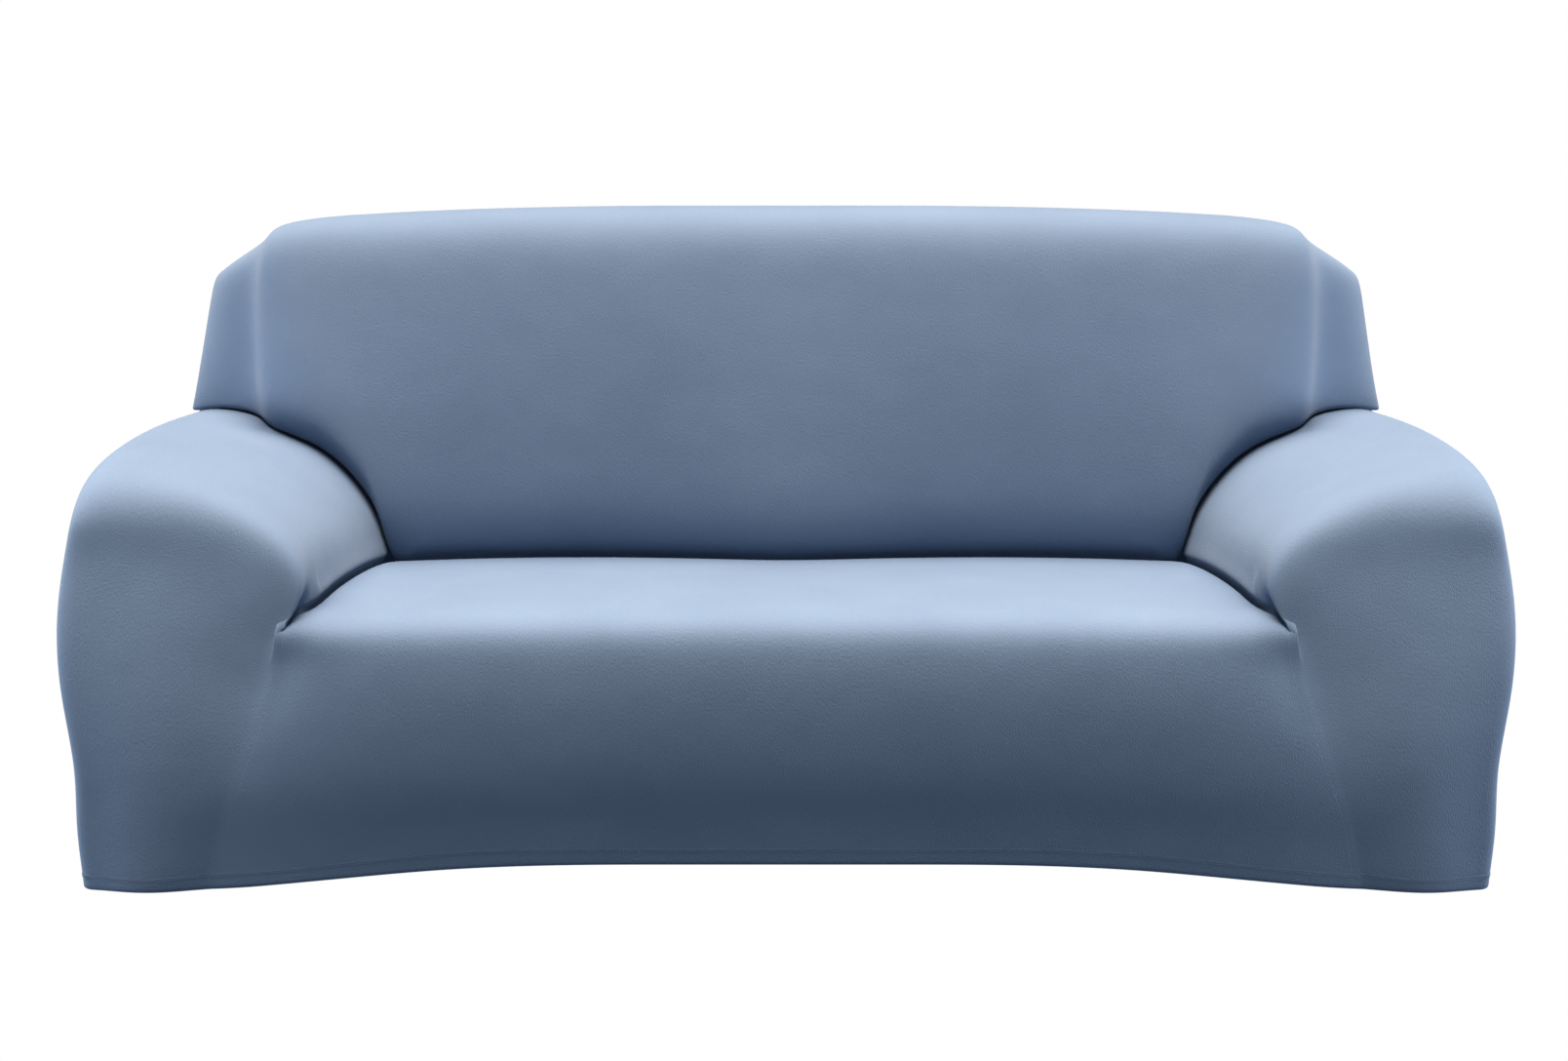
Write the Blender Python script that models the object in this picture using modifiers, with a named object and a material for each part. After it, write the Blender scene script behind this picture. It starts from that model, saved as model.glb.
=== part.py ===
"""Fitted stretch cover for a three-seat sofa, cut as five panels of knit cloth.

The sofa inside is left out, so the cover is a hollow skin in the shape it has when fitted.
Metres, +Z up, the floor at Z = 0, the front towards -Y, X = 0 at the middle of the sofa.
Each panel is a cage lofted through the sections below, smoothed, then given its thickness inwards.
The tables hold the left side's sizes with X written positive; uneven() sets the right side apart.
"""
import math
from collections import namedtuple

import bmesh
import bpy
from mathutils import Vector

CLOTH = 0.0020            # thickness of the knit with its raised face
SEAM = 0.0003             # the sewn edges of two panels lie this far apart
REAR_Y = 0.445            # plane of the rear edges
HEM_RISE = 0.040          # the elastic pulls the middle of the front hem this far off the floor
HEM_FLAT, HEM_FLOOR = 0.36, 0.88     # half widths where that rise is whole, and where it has gone
HEM_FOLD = 0.016          # the hem turns in by this much
WIDER = 1.0020            # the right half beside the left, as the cloth was pulled on
CORNER_OUT = 0.006        # and the right wing's top corner stands out this much further
CORNER_X, CORNER_Z = (0.84, 0.94), (0.70, 0.85)     # ramps from none to the whole of that
CENTRE = Vector((0.00104, -0.00681, 0.0))    # middle of the whole cover in the tables' own frame
SLATE_BLUE = (0.155, 0.215, 0.330, 1.0)

# Seat deck, from the back crease forward to the nose of the seat.
# y, height of the deck, how far its side edges tuck down beside the arms, how far y follows the crease
Deck = namedtuple("Deck", "y top tuck follow")
DECK = (
    Deck(0.062, 0.397, 0.045, 1.0),
    Deck(0.000, 0.405, 0.045, 0.5),
    Deck(-0.110, 0.411, 0.045, 0.1),
    Deck(-0.240, 0.412, 0.045, 0.0),
    Deck(-0.345, 0.410, 0.043, 0.0),
    Deck(-0.402, 0.409, 0.038, 0.0),
    Deck(-0.442, 0.390, 0.022, 0.0),
)
# Columns across half the seat: share of its half width, y of the crease at the back, drop at the edge.
Across = namedtuple("Across", "share crease drop")
ACROSS = (
    Across(0.00, 0.054, 0.000),
    Across(0.20, 0.078, 0.000),
    Across(0.40, 0.092, 0.000),
    Across(0.60, 0.097, 0.000),
    Across(0.78, 0.094, 0.001),
    Across(0.92, 0.080, 0.001),
    Across(0.99, 0.066, 0.006),
)
# Front face, from under the nose down to the hem: height, depth of the apron and of the arms' fronts,
# x of the seam between them, x of the arm's outer side, share of the arm's extra height.
Face = namedtuple("Face", "z apron arm seam outer lift")
FACE = (
    Face(0.345, -0.452, -0.416, 0.718, 1.017, 1.00),
    Face(0.285, -0.459, -0.434, 0.738, 1.041, 0.80),
    Face(0.215, -0.460, -0.449, 0.765, 1.042, 0.55),
    Face(0.145, -0.456, -0.458, 0.793, 1.024, 0.30),
    Face(0.085, -0.450, -0.461, 0.812, 1.034, 0.12),
    Face(0.035, -0.444, -0.461, 0.822, 1.029, 0.00),
    Face(0.002, -0.441, -0.460, 0.828, 1.029, 0.00),
)
APRON_FLAT, ARM_FLAT = 0.60, 0.84    # between these half widths the apron's depth turns into the arm's
# The arm in section, from the crease beside the seat, over the top, to the outer edge: where it meets
# the back, half way along, and near the front, and how far its front edge falls from there and lies back.
# under and low place the same points on the front face.
Arm = namedtuple("Arm", "rear_x rear_y rear_z mid_x mid_z front_x front_z fall back under low")
ARM = (
    Arm(0.664, 0.062, 0.390, 0.690, 0.400, 0.711, 0.398, 0.004, 0.003, 0.03, 0.06),
    Arm(0.668, 0.074, 0.428, 0.692, 0.434, 0.696, 0.430, 0.022, 0.010, 0.06, 0.13),
    Arm(0.680, 0.079, 0.472, 0.702, 0.478, 0.690, 0.476, 0.034, 0.020, 0.10, 0.22),
    Arm(0.714, 0.085, 0.520, 0.730, 0.522, 0.711, 0.526, 0.042, 0.026, 0.18, 0.34),
    Arm(0.768, 0.092, 0.571, 0.790, 0.566, 0.780, 0.570, 0.052, 0.030, 0.32, 0.48),
    Arm(0.848, 0.106, 0.609, 0.866, 0.600, 0.855, 0.596, 0.058, 0.030, 0.50, 0.62),
    Arm(0.902, 0.180, 0.624, 0.915, 0.615, 0.905, 0.606, 0.062, 0.028, 0.65, 0.74),
    Arm(0.972, 0.222, 0.637, 0.984, 0.634, 0.972, 0.613, 0.064, 0.026, 0.86, 0.88),
    Arm(1.025, 0.228, 0.625, 1.036, 0.618, 1.016, 0.592, 0.056, 0.025, 1.00, 1.00),
)
NOSE = (0.30, 1.0)        # shares of that fall and back on the last two rows of the arm's top
# The crease at the back of the seat: how far behind its line, and how high, these points of it lie.
Crease = namedtuple("Crease", "back z")
CREASE_SEAM = Crease(0.016, 0.355)
CREASE_HALF_WAY = Crease(0.008, 0.380)
CREASE_LIP = Crease(0.008, 0.394)
DECK_TURN = 0.006         # the deck turns down this far in front of the crease's line
CORNER_DROP = 0.003       # the crease's foot is this much lower in the corner beside the arm
CORNER_SEAM = Vector((-0.005, 0.034, 0.366))    # from the arm's rear corner: seam of the inside back there
CORNER_LIP = Vector((-0.006, 0.010, 0.395))     # and its lip
ARM_LIP = 0.005           # the inside back turns up this far off the arm
ARM_SEAM_BACK = 0.036     # and its seam on the arm lies this far behind the crease
CORNER_CLEAR = 0.002      # extra clearance of that seam where the arm's section bends most
WING_LIP = Vector((0.003, 0.0, 0.006))          # the wing's side bulges out over the arm by this much
WING_SEAM = 0.0006        # clearance of the wing's seam over the arm's side
TUCK_LEAN = 0.002         # the tuck beside the seat leans this far under the arm
ARM_TUCK = 0.040          # the arm's rear edge runs this far in behind the back
# Sides of the cover behind the wings: y, and how far x comes in towards the rear edge.
Side = namedtuple("Side", "y inset")
SIDES = (Side(0.270, 0.000), Side(0.380, 0.002), Side(REAR_Y, 0.014))

# Upper end of each column of the inside back: top of the face, top height, rear edge, plan angle that
# the column faces, share of the roll over the top, bulge of the cushion. The first seven stand on the
# seat, eight on the arm, three behind.
Top = namedtuple("Top", "x y z rear_x rear_z turn roll bulge")
TOPS = (
    Top(0.000, 0.134, 0.972, 0.000, 0.955, 0.00, 1.00, 0.016),
    Top(0.132, 0.134, 0.972, 0.135, 0.955, 0.00, 1.00, 0.016),
    Top(0.265, 0.135, 0.972, 0.270, 0.954, 0.00, 1.00, 0.016),
    Top(0.397, 0.135, 0.970, 0.400, 0.952, 0.00, 1.00, 0.016),
    Top(0.520, 0.136, 0.967, 0.525, 0.949, 0.00, 1.00, 0.016),
    Top(0.623, 0.137, 0.963, 0.630, 0.945, 0.00, 0.98, 0.016),
    Top(0.702, 0.138, 0.959, 0.705, 0.941, 0.00, 0.96, 0.016),
    Top(0.757, 0.140, 0.956, 0.757, 0.937, 0.00, 0.92, 0.018),
    Top(0.799, 0.142, 0.952, 0.790, 0.933, 0.00, 0.88, 0.018),
    Top(0.835, 0.146, 0.947, 0.820, 0.928, 0.02, 0.82, 0.018),
    Top(0.864, 0.153, 0.940, 0.847, 0.920, 0.06, 0.76, 0.018),
    Top(0.886, 0.168, 0.930, 0.872, 0.909, 0.20, 0.68, 0.014),
    Top(0.912, 0.236, 0.910, 0.894, 0.895, 0.25, 0.50, 0.000),
    Top(0.957, 0.262, 0.882, 0.915, 0.880, 0.30, 0.40, 0.000),
    Top(0.992, 0.292, 0.864, 0.932, 0.869, 0.80, 0.40, 0.002),
    Top(1.004, 0.336, 0.856, 0.947, 0.861, 1.35, 0.40, 0.002),
    Top(1.006, 0.400, 0.853, 0.960, 0.855, 1.57, 0.40, 0.002),
    Top(0.996, REAR_Y, 0.849, 0.970, 0.850, 1.57, 0.40, 0.000),
)
# Stations up the face of the back, and the share of the bulge that each has: the cushion's foot swells out.
RISE = ((0.0, 0.0), (0.05, 0.55), (0.16, 0.95), (0.36, 1.0), (0.66, 0.75), (1.0, 0.0))
ROLL_DROP = 0.120         # the roll over the top starts this far under it
ROLL_DEPTH = 0.116        # and reaches this far back
WING_DROP, WING_DEPTH = 0.030, 0.022     # the same for a column that faces sideways
ROLL_MIDDLE = (0.26, 0.76)               # shares of that depth and height at the middle of the roll

# Outside back: heights of its rows as shares of its top edge, and its half width at each.
Rear = namedtuple("Rear", "share half")
REARS = (
    Rear(0.000, 1.012),
    Rear(0.035, 1.018),
    Rear(0.200, 1.018),
    Rear(0.400, 1.028),
    Rear(0.560, 1.026),
    Rear(0.710, 1.010),
    Rear(0.960, 1.002),
    Rear(1.000, 0.984),
)
REAR_COLUMNS = (0.0, 0.30, 0.60, 0.79, 0.88, 0.95, 1.0)     # shares of that half width


def ramp(value, low, high):
    """Share of the way from low to high, held between 0 and 1."""
    return min(1.0, max(0.0, (value - low) / (high - low)))


def hem_height(x):
    """Height of the front hem: raised in the middle, on the floor at the corners."""
    t = ramp(abs(x), HEM_FLAT, HEM_FLOOR)
    return HEM_RISE * (1.0 - t * t * (3.0 - 2.0 * t))


def face_point(face, x):
    """Point of the front face at x, on one of its rows, which follow the arch of the hem."""
    t = ramp(abs(x), APRON_FLAT, ARM_FLAT)
    y = face.apron + (face.arm - face.apron) * t * t * (3.0 - 2.0 * t)
    return Vector((x, y, face.z + hem_height(x) * (1.0 - face.z / DECK[-1].top)))


def arm_section(i, y):
    """X and Z of point i of the arm's section at depth y, on a curve through its three sections."""
    point = ARM[i]
    s = min(1.0, (DECK[0].y - y) / (DECK[0].y - DECK[-2].y))
    rear = (1.0 - s) * (1.0 - 2.0 * s)
    mid = 4.0 * s * (1.0 - s)
    front = s * (2.0 * s - 1.0)
    x = rear * point.rear_x + mid * point.mid_x + front * point.front_x
    z = rear * point.rear_z + mid * point.mid_z + front * point.front_z
    return x, z


def arm_top(i, j):
    """Cage point of the arm's top: i from the tuck beside the seat outwards, j from the back forwards."""
    deck = DECK[max(j, 0)]
    if i == 0:
        x, z = arm_section(0, deck.y)
        back = ARM_TUCK if j < 0 else 0.0
        return Vector((x + TUCK_LEAN + SEAM / 2, deck.y + back, deck.top - deck.tuck))
    point = ARM[i - 1]
    x, z = arm_section(i - 1, deck.y)
    y = deck.y + (point.rear_y - DECK[0].y) * (1.0 - max(j, 0) / (len(DECK) - 1)) ** 2
    nose = NOSE[j - len(DECK)] if j >= len(DECK) - len(NOSE) else 0.0
    y += point.back * nose
    z -= point.fall * nose
    if j < 0:
        y += ARM_TUCK
    return Vector((x, y, z))


def arm_front(i, k):
    """Cage point of the arm's front face, k rows under its top edge."""
    face = FACE[k - 1]
    if i == 0:
        return face_point(face, face.seam + SEAM / 2)
    point = ARM[i - 1]
    share = point.under if k == 1 else point.low
    place = face_point(face, face.seam + (face.outer - face.seam) * share)
    place.z += (point.front_z - point.fall - DECK[-1].top) * face.lift
    return place


def arm_side(j, k):
    """Cage point of the arm's outer side, k rows under its top edge; j below zero lies behind the wing."""
    if j >= 0:
        edge = arm_top(len(ARM), j)
        inset = 0.0
    else:
        edge = Vector((ARM[-1].rear_x, SIDES[-1 - j].y, ARM[-1].rear_z))
        inset = SIDES[-1 - j].inset
    if k == 0:
        return edge - Vector((inset, 0.0, 0.0))
    face = FACE[k - 1]
    z = face.z + (edge.z - DECK[-1].top) * face.lift
    return Vector((face.outer - inset, edge.y, z))


def uneven(point):
    """The right half sits a little wider than the left, most of all at the wing's top corner."""
    if point.x <= 0.0:
        return point - CENTRE
    corner = ramp(point.z, *CORNER_Z) * ramp(point.x, *CORNER_X)
    return Vector((point.x * WIDER + CORNER_OUT * corner, point.y, point.z)) - CENTRE


def whole(rows):
    """Rows across the whole sofa from rows across its right half, which start at the middle."""
    return [[Vector((-p.x, p.y, p.z)) for p in reversed(row[1:])] + row for row in rows]


def skin(name, grids, collection):
    """Make a panel from grids of points that share their edges: smooth it, then thicken it inwards.

    Seen from outside with a grid's rows stacked upwards, each row runs from left to right.
    """
    mesh = bpy.data.meshes.new(name)
    bm = bmesh.new()
    for grid in grids:
        rows = [[bm.verts.new(uneven(point)) for point in row] for row in grid]
        for lower, upper in zip(rows, rows[1:]):
            for a, b, c, d in zip(lower, lower[1:], upper[1:], upper):
                bm.faces.new((a, b, c, d))
    bmesh.ops.remove_doubles(bm, verts=bm.verts, dist=0.00005)
    bm.to_mesh(mesh)
    bm.free()
    panel = bpy.data.objects.new(name, mesh)
    collection.objects.link(panel)
    smooth = panel.modifiers.new("smooth", "SUBSURF")
    smooth.levels = 1
    smooth.render_levels = 1
    wall = panel.modifiers.new("cloth thickness", "SOLIDIFY")
    wall.thickness = CLOTH
    wall.offset = -1.0
    wall.use_even_offset = True
    wall.use_quality_normals = True
    panel.data.materials.append(knit(name))
    return panel


def knit(name):
    """Matt stretch knit, one material for each panel."""
    material = bpy.data.materials.new(name + "_knit")
    material.use_nodes = True
    shader = material.node_tree.nodes["Principled BSDF"]
    shader.inputs["Base Color"].default_value = SLATE_BLUE
    shader.inputs["Roughness"].default_value = 0.85
    shader.inputs["Metallic"].default_value = 0.0
    return material


def make_seat_and_front(collection):
    """Seat deck and apron: rows run from the seam in the back crease forward and down to the hem."""
    rows = []
    width, _ = arm_section(0, DECK[0].y)
    for place in (CREASE_SEAM, CREASE_HALF_WAY):
        row = []
        for column in ACROSS:
            row.append(Vector((column.share * width, column.crease + place.back - SEAM / 2, place.z)))
        side = ACROSS[-1].crease + place.back - DECK_TURN
        row.append(Vector((width + TUCK_LEAN - SEAM / 2, side, place.z - CORNER_DROP)))
        rows.append(row)
    for deck in DECK:
        width, _ = arm_section(0, deck.y)
        row = []
        for column in ACROSS:
            y = deck.y + (column.crease - DECK_TURN - DECK[0].y) * deck.follow
            row.append(Vector((column.share * width, y, deck.top - column.drop)))
        row.append(Vector((width + TUCK_LEAN - SEAM / 2, deck.y, deck.top - deck.tuck)))
        rows.append(row)
    for face in FACE:
        row = [face_point(face, column.share * face.seam) for column in ACROSS]
        row.append(face_point(face, face.seam - SEAM / 2))
        rows.append(row)
    rows.append([point + Vector((0.0, HEM_FOLD, -FACE[-1].z)) for point in rows[-1]])
    return skin("seat_and_front", [whole(rows)[::-1]], collection)


def make_arm(name, side, collection):
    """One arm: its top with the inner side, its front and its outer side, which share their edges."""
    columns = range(len(ARM) + 1)
    depths = range(-1, len(DECK))
    heights = range(1, len(FACE) + 1)
    nose = len(DECK) - 1
    fold = FACE[-1].z
    top = [[arm_top(i, j) for i in columns] for j in depths]
    top[0][-1] = arm_side(-1, 0)
    front = [top[-1]] + [[arm_front(i, k) for i in columns] for k in heights]
    front.append([point + Vector((0.0, HEM_FOLD, -fold)) for point in front[-1]])
    front[-1][-1].x -= HEM_FOLD
    outer = [[arm_side(j, k) for j in range(nose, -len(SIDES) - 1, -1)] for k in range(len(FACE) + 1)]
    for k in heights:
        outer[k][0] = front[k][-1].copy()
    outer.append([point + Vector((-HEM_FOLD, 0.0, -fold)) for point in outer[-1]])
    outer[-1][0] = front[-1][-1].copy()
    grids = [grid[::-1] for grid in (top, front, outer)]
    if side < 0:
        grids = [[[Vector((-p.x, p.y, p.z)) for p in reversed(row)] for row in grid] for grid in grids]
    return skin(name, grids, collection)


def back_foot(index):
    """Lower end of a column of the inside back: the seam in the tuck, and the lip of the crease."""
    if index < len(ACROSS) - 1:
        column = ACROSS[index]
        x = column.share * ARM[0].rear_x
        seam = Vector((x, column.crease + CREASE_SEAM.back + SEAM / 2, CREASE_SEAM.z))
        return seam, Vector((x, column.crease + CREASE_LIP.back, CREASE_LIP.z))
    place = index - (len(ACROSS) - 1)
    if place == 0:
        corner = Vector((ARM[0].rear_x, ARM[0].rear_y, 0.0))
        return corner + CORNER_SEAM, corner + CORNER_LIP
    if place < len(ARM):
        here, before = ARM[place], ARM[place - 1]
        after = ARM[min(place + 1, len(ARM) - 1)]
        across = Vector((after.rear_x - before.rear_x, 0.0, after.rear_z - before.rear_z)).normalized()
        up = Vector((-across.z, 0.0, across.x))
        on_arm = Vector((here.rear_x, here.rear_y, here.rear_z))
        clear = SEAM + CORNER_CLEAR / place ** 2
        return on_arm + up * clear + Vector((0.0, ARM_SEAM_BACK, 0.0)), on_arm + up * ARM_LIP
    side = SIDES[place - len(ARM)]
    edge = Vector((ARM[-1].rear_x - side.inset, side.y, ARM[-1].rear_z + WING_SEAM))
    return edge, edge + WING_LIP


def make_inside_back(collection):
    """Inside back: columns rise from the creases, up the face, over the roll, to the rear edge."""
    columns = []
    for index, top in enumerate(TOPS):
        seam, lip = back_foot(index)
        sideways, ahead = math.sin(top.turn), math.cos(top.turn)
        inward = Vector((-sideways, ahead, 0.0))
        depth = ROLL_DEPTH * ahead * top.roll + WING_DEPTH * sideways
        rise = ROLL_DROP * ahead * top.roll + WING_DROP * sideways
        head = Vector((top.x, top.y, top.z - rise))
        column = [seam]
        for t, fullness in RISE:
            column.append(lip.lerp(head, t) - inward * (top.bulge * fullness))
        column.append(head + inward * (depth * ROLL_MIDDLE[0]) + Vector((0.0, 0.0, rise * ROLL_MIDDLE[1])))
        column.append(head + inward * depth + Vector((0.0, 0.0, rise)))
        column.append(Vector((top.rear_x, REAR_Y, top.rear_z)))
        if top.y == REAR_Y:
            for point in column:
                point.y = REAR_Y
        columns.append(column)
    rows = [list(row) for row in zip(*columns)]
    return skin("inside_back", [whole(rows)], collection)


def make_outside_back(collection):
    """Plain rear panel: flat, sewn on the rear edges of the others."""
    rows = []
    for rear in REARS:
        row = []
        for share in REAR_COLUMNS:
            x = share * rear.half
            row.append(Vector((x, REAR_Y + SEAM + CLOTH, rear.share * rear_edge(share * REARS[-1].half))))
        rows.append(row)
    return skin("outside_back", [whole(rows)[::-1]], collection)


def rear_edge(x):
    """Height of the rear top edge at x, read between the columns of the inside back."""
    for inner, outer in zip(TOPS, TOPS[1:]):
        if inner.rear_x <= x <= outer.rear_x:
            t = (x - inner.rear_x) / (outer.rear_x - inner.rear_x)
            return inner.rear_z + (outer.rear_z - inner.rear_z) * t
    return TOPS[-1].rear_z


def main():
    for old in list(bpy.data.objects):
        bpy.data.objects.remove(old, do_unlink=True)
    cover = bpy.data.collections.new("sofa_slipcover")
    bpy.context.scene.collection.children.link(cover)
    make_seat_and_front(cover)
    make_arm("arm_left", -1, cover)
    make_arm("arm_right", 1, cover)
    make_inside_back(cover)
    make_outside_back(cover)


main()
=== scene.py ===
import math
from collections import namedtuple

import bmesh
import bpy
import numpy as np
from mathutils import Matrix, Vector


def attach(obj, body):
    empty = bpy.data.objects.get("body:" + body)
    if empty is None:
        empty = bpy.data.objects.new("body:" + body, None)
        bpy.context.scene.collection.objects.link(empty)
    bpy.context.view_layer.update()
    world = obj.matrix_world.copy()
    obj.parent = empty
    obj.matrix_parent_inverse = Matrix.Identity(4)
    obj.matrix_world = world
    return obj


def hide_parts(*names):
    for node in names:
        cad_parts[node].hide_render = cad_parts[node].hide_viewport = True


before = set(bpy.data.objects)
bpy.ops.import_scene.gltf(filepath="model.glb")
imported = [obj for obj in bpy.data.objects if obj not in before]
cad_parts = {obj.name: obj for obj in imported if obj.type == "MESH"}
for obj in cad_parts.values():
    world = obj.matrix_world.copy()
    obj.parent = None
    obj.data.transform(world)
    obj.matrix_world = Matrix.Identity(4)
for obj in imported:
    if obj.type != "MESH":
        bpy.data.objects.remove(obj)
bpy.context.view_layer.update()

# ------------------------------------------------------------------------------------------------
# The lower skin: seat, apron and both arms, in the shape they have once the cover is pulled on.
# They are cut from one smooth stretch knit and sewn edge to edge, so one cage carries all three:
# it is smoothed as a whole, and each panel is then taken out of it along its seams.
# Metres, +Z up. The tables hold the left side's sizes with X written positive.
# ------------------------------------------------------------------------------------------------
REAR_Y = 0.445            # plane of the cover's rear edges
HEM_RISE = 0.037          # the elastic pulls the middle of the front hem this far off the floor
HEM_FLAT, HEM_FLOOR = 0.36, 0.88     # half widths where that rise is whole, and where it has gone
HEM_FOLD = 0.016          # the hem turns in by this much
WIDER = 1.0020            # the right half beside the left, as the cloth was pulled on
CORNER_OUT = 0.004        # and the right wing's top corner stands out this much further
CORNER_X, CORNER_Z = (0.84, 0.94), (0.70, 0.85)     # ramps from none to the whole of that
CENTRE = Vector((0.00104, -0.00681, 0.0))    # middle of the whole cover in the tables' own frame

# Seat deck, from the back crease forward to the nose of the seat.
# y, height of the deck, how far its side edges tuck down beside the arms, how far y follows the crease
Deck = namedtuple("Deck", "y top tuck follow")
DECK = (
    Deck(0.062, 0.397, 0.045, 1.0),
    Deck(0.000, 0.405, 0.045, 0.5),
    Deck(-0.110, 0.411, 0.045, 0.1),
    Deck(-0.240, 0.412, 0.045, 0.0),
    Deck(-0.345, 0.410, 0.043, 0.0),
    Deck(-0.402, 0.410, 0.012, 0.0),
    Deck(-0.440, 0.392, 0.000, 0.0),
)
# Columns across half the seat: share of its half width, y of the crease at the back, drop at the edge.
Across = namedtuple("Across", "share crease drop")
ACROSS = (
    Across(0.00, 0.054, 0.000),
    Across(0.20, 0.078, 0.000),
    Across(0.40, 0.092, 0.000),
    Across(0.60, 0.097, 0.001),
    Across(0.78, 0.094, 0.003),
    Across(0.92, 0.080, 0.004),
)
# Beside the arm the seat rolls over into the tuck: distance from the crease, the same where there is no
# tuck, y of the back crease, drop.
Roll = namedtuple("Roll", "off plain crease drop")
SEAT_EDGE = (
    Roll(0.022, 0.034, 0.074, 0.004),
    Roll(0.006, 0.018, 0.067, 0.006),
    Roll(-0.001, 0.007, 0.062, 0.012),
)
# And the arm's side comes down to it: distance outside the crease, the same where there is no tuck, height
# above the deck, shares of the front face's width under the arm's nose and lower.
Lip = namedtuple("Lip", "off plain rise under low")
ARM_EDGE = (
    Lip(0.007, 0.004, -0.018, 0.012, 0.012),
    Lip(0.006, 0.008, -0.003, 0.022, 0.024),
    Lip(-0.001, 0.013, 0.001, 0.034, 0.040),
    Lip(-0.002, 0.019, 0.008, 0.048, 0.060),
)
TUCK_WHOLE = 0.040        # depth of tuck at which both roll fully
# Front face, from under the nose down to the hem: height, depth of the apron and of the arms' fronts,
# x of the seam between them, x of the arm's outer side, share of the arm's extra height.
Face = namedtuple("Face", "z apron arm seam outer lift")
FACE = (
    Face(0.345, -0.452, -0.416, 0.718, 1.030, 1.00),
    Face(0.285, -0.459, -0.436, 0.738, 1.049, 0.80),
    Face(0.215, -0.460, -0.450, 0.765, 1.046, 0.55),
    Face(0.145, -0.456, -0.452, 0.793, 1.026, 0.30),
    Face(0.085, -0.446, -0.446, 0.812, 1.034, 0.12),
    Face(0.035, -0.440, -0.442, 0.822, 1.030, 0.00),
    Face(0.010, -0.437, -0.440, 0.828, 1.029, 0.00),
    Face(0.002, -0.436, -0.439, 0.829, 1.029, 0.00),
)
APRON_FLAT, ARM_FLAT = 0.60, 0.84    # between these half widths the apron's depth turns into the arm's
# The arm in section, from the crease beside the seat, over the top, to the outer edge: where it meets
# the back, half way along, and near the front, and how far its front edge falls from there and lies back.
# under and low place the same points on the front face. The first row is the crease's own line.
Arm = namedtuple("Arm", "rear_x rear_y rear_z mid_x mid_z front_x front_z fall back under low")
ARM = (
    Arm(0.664, 0.062, 0.390, 0.687, 0.400, 0.700, 0.398, 0.004, 0.003, 0.03, 0.06),
    Arm(0.667, 0.073, 0.428, 0.692, 0.434, 0.696, 0.430, 0.022, 0.010, 0.06, 0.13),
    Arm(0.678, 0.078, 0.470, 0.702, 0.478, 0.690, 0.476, 0.034, 0.020, 0.10, 0.22),
    Arm(0.713, 0.083, 0.525, 0.730, 0.522, 0.711, 0.526, 0.042, 0.026, 0.18, 0.34),
    Arm(0.773, 0.090, 0.582, 0.790, 0.566, 0.780, 0.570, 0.052, 0.030, 0.32, 0.48),
    Arm(0.866, 0.098, 0.608, 0.866, 0.600, 0.855, 0.596, 0.058, 0.030, 0.50, 0.62),
    Arm(0.890, 0.200, 0.616, 0.915, 0.615, 0.905, 0.606, 0.062, 0.028, 0.65, 0.74),
    Arm(0.967, 0.224, 0.628, 0.984, 0.636, 0.976, 0.613, 0.064, 0.026, 0.86, 0.88),
    Arm(1.025, 0.228, 0.622, 1.034, 0.621, 1.020, 0.592, 0.056, 0.025, 1.00, 1.00),
)
NOSE = (0.30, 1.0)        # shares of that fall and back on the last two rows of the arm's top
# The tuck's seam and its lips take the place of the section's first point.
ARM_COLUMNS = len(ARM_EDGE) + len(ARM)
TUCK_LEAN = 0.005         # the tuck beside the seat leans this far under the arm
# Near its front end the tuck jogs outwards, under the arm's nose: y, and how far.
Jog = namedtuple("Jog", "y out")
JOGS = (
    Jog(-0.300, 0.000),
    Jog(-0.365, -0.010),
    Jog(-0.380, 0.004),
    Jog(-0.395, 0.016),
    Jog(-0.445, 0.014),
)
FRONT_CROWN = 0.016       # the arm's front swells forward by this in its middle, towards the floor
ARM_TUCK = 0.040          # the arm's rear edge runs this far in behind the back
# Sides of the cover behind the wings: y, and how far x comes in towards the rear edge.
Side = namedtuple("Side", "y inset")
SIDES = (Side(0.270, 0.000), Side(0.380, 0.002), Side(REAR_Y, 0.014))
# The crease at the back of the seat: how far behind its line, and how high, these points of it lie.
Crease = namedtuple("Crease", "back z")
CREASE_SEAM = Crease(0.016, 0.355)
CREASE_HALF_WAY = Crease(0.008, 0.380)
DECK_TURN = 0.006         # the deck turns down this far in front of the crease's line
CORNER_Y = 0.108          # in its corners the seat's seam runs back to here, under the back and the arm


def ramp(value, low, high):
    """Share of the way from low to high, held between 0 and 1."""
    return min(1.0, max(0.0, (value - low) / (high - low)))


def hem_height(x):
    """Height of the front hem: raised in the middle, on the floor at the corners."""
    t = ramp(abs(x), HEM_FLAT, HEM_FLOOR)
    return HEM_RISE * (1.0 - t * t * (3.0 - 2.0 * t))


def face_point(face, x):
    """Point of the front face at x, on one of its rows, which follow the arch of the hem."""
    t = ramp(abs(x), APRON_FLAT, ARM_FLAT)
    y = face.apron + (face.arm - face.apron) * t * t * (3.0 - 2.0 * t)
    return Vector((x, y, face.z + hem_height(x) * (1.0 - face.z / DECK[-1].top)))


def arm_section(i, y):
    """X and Z of point i of the arm's section at depth y, on a curve through its three sections."""
    point = ARM[i]
    s = min(1.0, (DECK[0].y - y) / (DECK[0].y - DECK[-2].y))
    rear = (1.0 - s) * (1.0 - 2.0 * s)
    mid = 4.0 * s * (1.0 - s)
    front = s * (2.0 * s - 1.0)
    x = rear * point.rear_x + mid * point.mid_x + front * point.front_x
    z = rear * point.rear_z + mid * point.mid_z + front * point.front_z
    return x, z


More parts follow.
